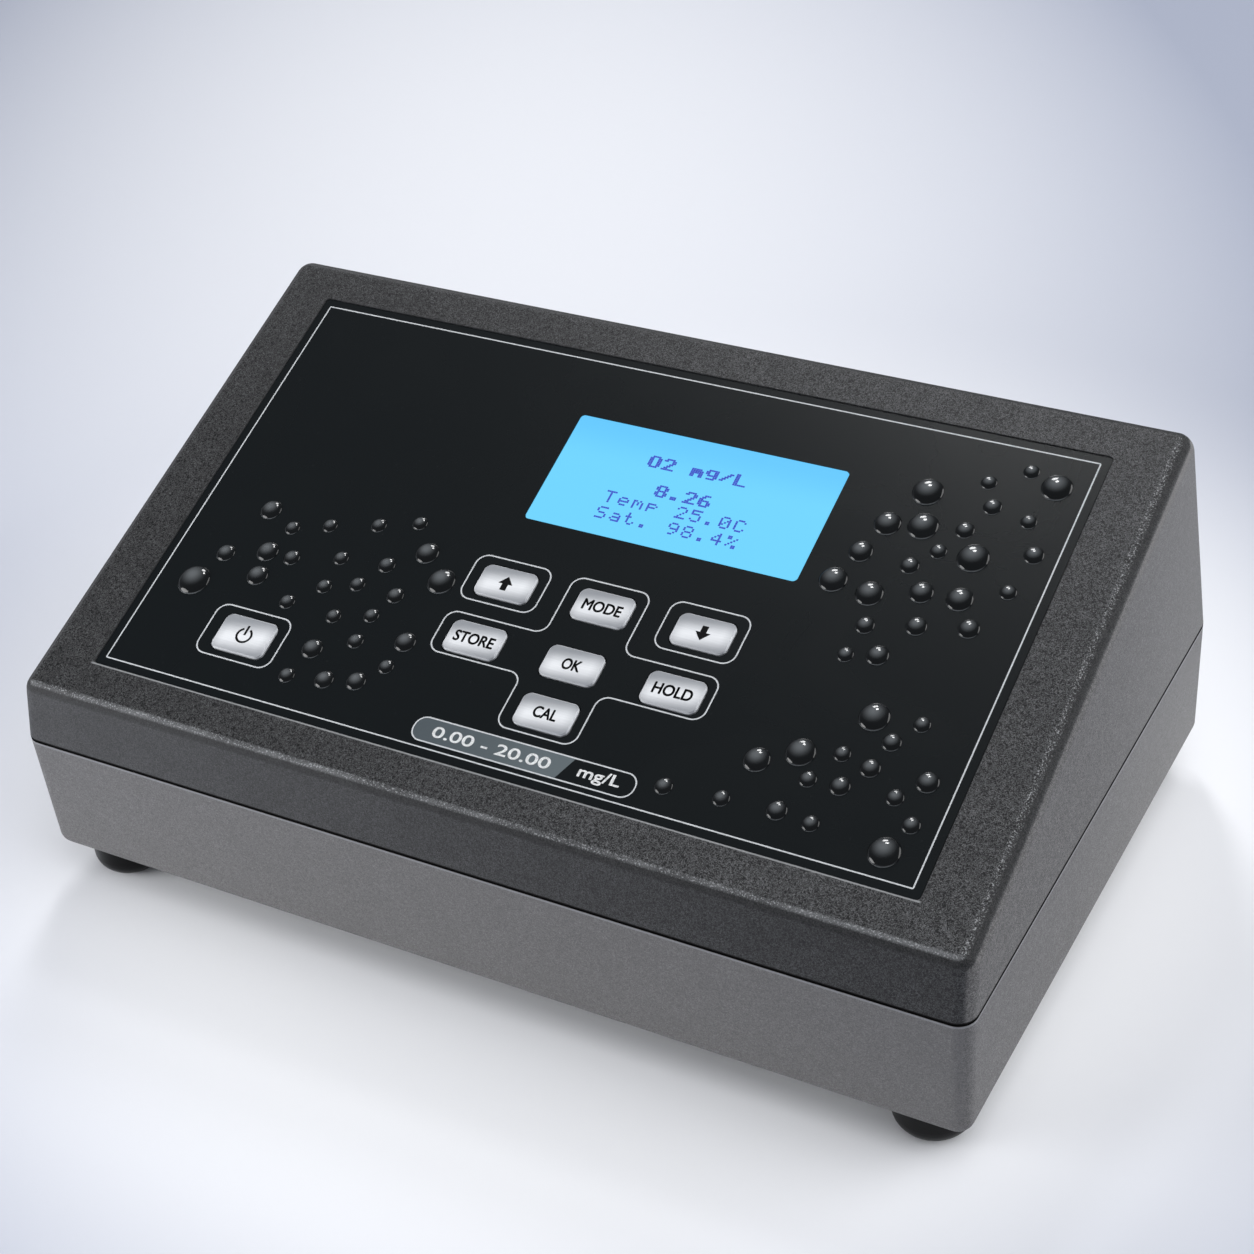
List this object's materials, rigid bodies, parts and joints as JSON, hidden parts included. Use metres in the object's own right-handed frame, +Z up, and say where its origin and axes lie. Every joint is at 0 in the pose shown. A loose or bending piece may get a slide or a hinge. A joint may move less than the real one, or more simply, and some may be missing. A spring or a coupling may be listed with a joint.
{
  "type": "benchtop dissolved oxygen meter",
  "caption": "Sloped benchtop dissolved oxygen meter with a lit display, sprung panel keys, rear sockets and plug-in rubber feet.",
  "frame": {"origin": "on the surface that the feet stand on, under the middle of the width and of the whole depth from the front wall to the end of the probe socket", "axes": "+X to the user's right along the width, +Y from the front to the back, +Z up"},
  "size_m": [0.25, 0.1638, 0.1055],
  "materials": {
    "cover_plastic": "fine leather grain",
    "base_plastic": "fine leather grain",
    "printed_film": "gloss",
    "clear_lens": "clear",
    "frame_steel": "brushed",
    "lit_glass": "gloss",
    "light_guide": "gloss",
    "circuit_board": "solder mask",
    "screw_steel": "plated",
    "switch_black": "moulded",
    "key_silver": "satin silver",
    "plunger_ivory": "moulded",
    "header_black": "moulded",
    "plug_grey": "moulded",
    "ribbon_grey": "flat cable",
    "chip_black": "moulded",
    "can_steel": "tinned",
    "sleeve_blue": "printed sleeve",
    "sink_aluminium": "extruded",
    "cell_steel": "polished",
    "socket_nickel": "nickel plate",
    "insulator_white": "moulded",
    "contact_gold": "gold plate",
    "socket_black": "moulded",
    "foot_rubber": "smooth"
  },
  "bodies": {
    "housing": {"top_cover": "cover_plastic", "base_tray": "base_plastic", "front_film": "printed_film", "display_lens": "clear_lens", "display_frame": "frame_steel", "display_glass": "lit_glass", "display_light_guide": "light_guide", "display_board": "circuit_board", "display_screws": "screw_steel", "keypad_board": "circuit_board", "keypad_screws": "screw_steel", "switch_bodies": "switch_black", "panel_headers": "header_black", "board_headers": "header_black", "ribbon_plugs": "plug_grey", "display_ribbon": "ribbon_grey", "keypad_ribbon": "ribbon_grey", "main_board": "circuit_board", "main_board_screws": "screw_steel", "controller_chip": "chip_black", "small_chips": "chip_black", "crystal": "can_steel", "shield_can": "can_steel", "amplifier_chip": "chip_black", "capacitors": "sleeve_blue", "regulator": "chip_black", "heat_sink": "sink_aluminium", "buzzer": "switch_black", "cell_holder": "header_black", "clock_cell": "cell_steel", "probe_socket": "socket_nickel", "probe_insulator": "insulator_white", "probe_contact": "contact_gold", "probe_washer": "screw_steel", "probe_nut": "socket_nickel", "temperature_socket": "socket_black", "temperature_nut": "socket_nickel", "power_jack": "socket_black", "power_jack_pin": "socket_nickel", "data_port": "socket_nickel", "data_port_tongue": "insulator_white", "feet": "foot_rubber", "case_screws": "screw_steel"},
    "power_key": {"key_power": "key_silver", "plunger_power": "plunger_ivory"},
    "up_key": {"key_up": "key_silver", "plunger_up": "plunger_ivory"},
    "mode_key": {"key_mode": "key_silver", "plunger_mode": "plunger_ivory"},
    "down_key": {"key_down": "key_silver", "plunger_down": "plunger_ivory"},
    "store_key": {"key_store": "key_silver", "plunger_store": "plunger_ivory"},
    "ok_key": {"key_ok": "key_silver", "plunger_ok": "plunger_ivory"},
    "hold_key": {"key_hold": "key_silver", "plunger_hold": "plunger_ivory"},
    "cal_key": {"key_cal": "key_silver", "plunger_cal": "plunger_ivory"}
  },
  "joints": [
    {"name": "power_press", "type": "slide", "parent": "housing", "child": "power_key", "axis": [0, 0.325, -0.9457], "range_m": [0, 0.0004], "stiffness_N_per_m": 2500, "springref_m": -0.0002},
    {"name": "up_press", "type": "slide", "parent": "housing", "child": "up_key", "axis": [0, 0.325, -0.9457], "range_m": [0, 0.0004], "stiffness_N_per_m": 2500, "springref_m": -0.0002},
    {"name": "mode_press", "type": "slide", "parent": "housing", "child": "mode_key", "axis": [0, 0.325, -0.9457], "range_m": [0, 0.0004], "stiffness_N_per_m": 2500, "springref_m": -0.0002},
    {"name": "down_press", "type": "slide", "parent": "housing", "child": "down_key", "axis": [0, 0.325, -0.9457], "range_m": [0, 0.0004], "stiffness_N_per_m": 2500, "springref_m": -0.0002},
    {"name": "store_press", "type": "slide", "parent": "housing", "child": "store_key", "axis": [0, 0.325, -0.9457], "range_m": [0, 0.0004], "stiffness_N_per_m": 2500, "springref_m": -0.0002},
    {"name": "ok_press", "type": "slide", "parent": "housing", "child": "ok_key", "axis": [0, 0.325, -0.9457], "range_m": [0, 0.0004], "stiffness_N_per_m": 2500, "springref_m": -0.0002},
    {"name": "hold_press", "type": "slide", "parent": "housing", "child": "hold_key", "axis": [0, 0.325, -0.9457], "range_m": [0, 0.0004], "stiffness_N_per_m": 2500, "springref_m": -0.0002},
    {"name": "cal_press", "type": "slide", "parent": "housing", "child": "cal_key", "axis": [0, 0.325, -0.9457], "range_m": [0, 0.0004], "stiffness_N_per_m": 2500, "springref_m": -0.0002}
  ]
}
